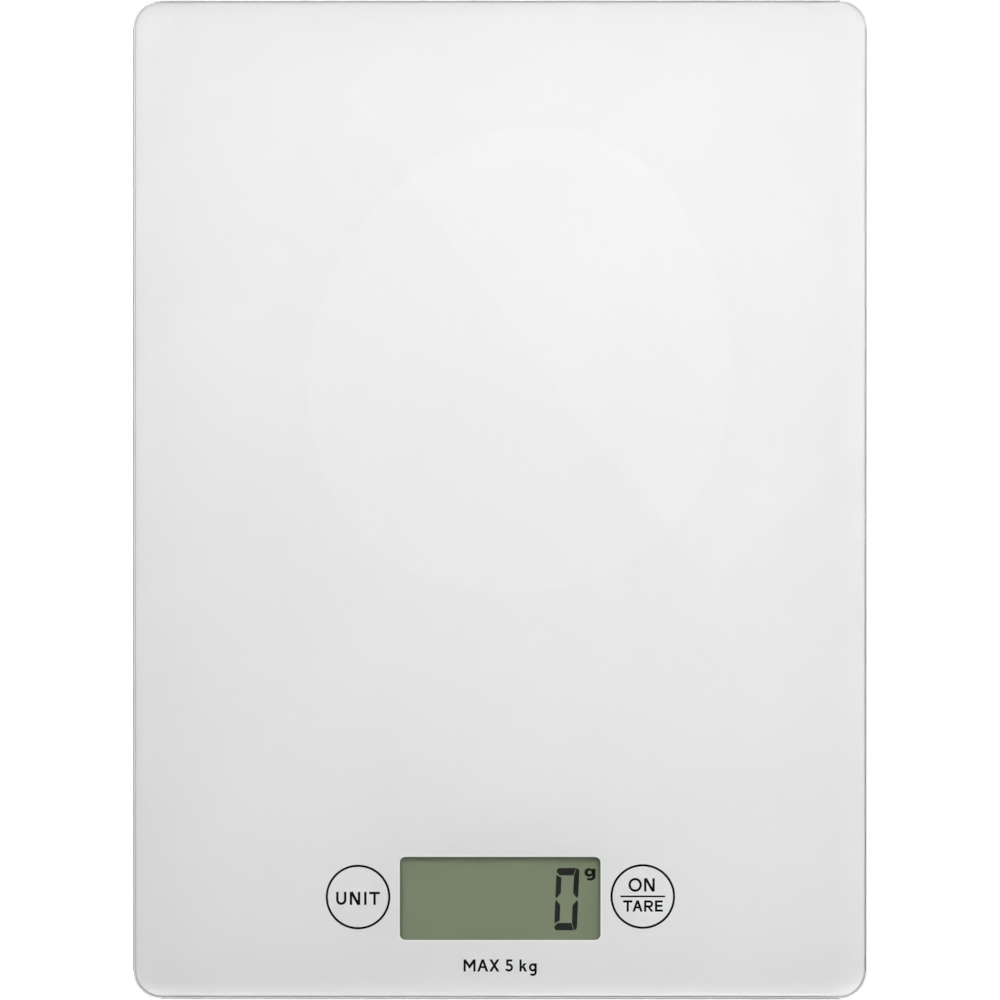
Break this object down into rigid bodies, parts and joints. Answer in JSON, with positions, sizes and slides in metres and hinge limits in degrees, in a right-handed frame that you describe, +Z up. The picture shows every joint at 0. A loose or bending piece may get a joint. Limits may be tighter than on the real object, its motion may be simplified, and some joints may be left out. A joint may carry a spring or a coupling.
{
  "type": "kitchen scale",
  "caption": "Thin electronic kitchen scale: rounded rectangular glass platform, white from behind, with a grey-green display window, two printed touch keys and four sprung load-cell feet.",
  "frame": {"origin": "middle of the footprint, on the surface that the feet stand on", "axes": "+X to the user's right, +Y from the display edge to the back, +Z up"},
  "size_m": [0.165, 0.2246, 0.016],
  "materials": {
    "clear_glass": "polished tempered glass",
    "white_print": "white print seen through the glass",
    "foam_tape": "matt foam tape",
    "white_housing": "fine spark texture",
    "cell_steel": "plain",
    "spring_steel": "nickel plated",
    "red_insulation": "satin",
    "black_insulation": "satin",
    "green_board": "solder mask",
    "display_glass": "polished",
    "display_film": "grey-green satin film",
    "grey_moulding": "satin",
    "zebra_rubber": "striped",
    "copper_wire": "bright",
    "black_resin": "cured resin",
    "ceramic": "fired ceramic",
    "tin_solder": "bright",
    "gauge_foil": "etched foil",
    "white_silicone": "satin",
    "zinc_steel": "zinc plated",
    "stamped_steel": "stamped and plated",
    "foot_rubber": "matt grey rubber",
    "wire_insulation": "satin"
  },
  "bodies": {
    "body": {"glass_platform": "clear_glass", "printed_film": "white_print", "adhesive_tape": "foam_tape", "upper_frame": "white_housing", "lower_cover": "white_housing", "coin_cell": "cell_steel", "battery_contact_positive": "spring_steel", "battery_contact_negative": "spring_steel", "battery_lead_positive": "red_insulation", "battery_lead_negative": "black_insulation", "main_pcb": "green_board", "lcd_panel": "display_glass", "lcd_polarizer": "display_film", "lcd_reflector": "display_film", "lcd_frame": "grey_moulding", "zebra_strip": "zebra_rubber", "unit_touch_spring": "copper_wire", "tare_touch_spring": "copper_wire", "chip_glob_top": "black_resin", "capacitors": "ceramic", "resistors": "black_resin", "crystal": "cell_steel", "solder_joints": "tin_solder", "strain_gauges": "gauge_foil", "gauge_coatings": "white_silicone", "cover_screws": "zinc_steel", "pcb_screws": "zinc_steel", "load_cell_front_left": "stamped_steel", "sensor_wires_front_left": "wire_insulation", "load_cell_front_right": "stamped_steel", "sensor_wires_front_right": "wire_insulation", "load_cell_back_left": "stamped_steel", "sensor_wires_back_left": "wire_insulation", "load_cell_back_right": "stamped_steel", "sensor_wires_back_right": "wire_insulation"},
    "foot_front_left": {"foot_cap_front_left": "white_housing", "foot_pad_front_left": "foot_rubber"},
    "foot_front_right": {"foot_cap_front_right": "white_housing", "foot_pad_front_right": "foot_rubber"},
    "foot_back_left": {"foot_cap_back_left": "white_housing", "foot_pad_back_left": "foot_rubber"},
    "foot_back_right": {"foot_cap_back_right": "white_housing", "foot_pad_back_right": "foot_rubber"},
    "battery_door": {"battery_door": "white_housing"}
  },
  "joints": [
    {"name": "foot_front_left_press", "type": "slide", "parent": "body", "child": "foot_front_left", "axis": [0, 0, 1], "range_m": [0, 0.0003], "stiffness_N_per_m": 800, "springref_m": -0.0025, "deforming": ["load_cell_front_left"]},
    {"name": "foot_front_right_press", "type": "slide", "parent": "body", "child": "foot_front_right", "axis": [0, 0, 1], "range_m": [0, 0.0003], "stiffness_N_per_m": 800, "springref_m": -0.0025, "deforming": ["load_cell_front_right"]},
    {"name": "foot_back_left_press", "type": "slide", "parent": "body", "child": "foot_back_left", "axis": [0, 0, 1], "range_m": [0, 0.0003], "stiffness_N_per_m": 800, "springref_m": -0.0025, "deforming": ["load_cell_back_left"]},
    {"name": "foot_back_right_press", "type": "slide", "parent": "body", "child": "foot_back_right", "axis": [0, 0, 1], "range_m": [0, 0.0003], "stiffness_N_per_m": 800, "springref_m": -0.0025, "deforming": ["load_cell_back_right"]},
    {"name": "battery_door_hinge", "type": "hinge", "parent": "body", "child": "battery_door", "pos_m": [0, -0.0538, 0.0024], "axis": [-1, 0, 0], "range_deg": [0, 45]}
  ]
}
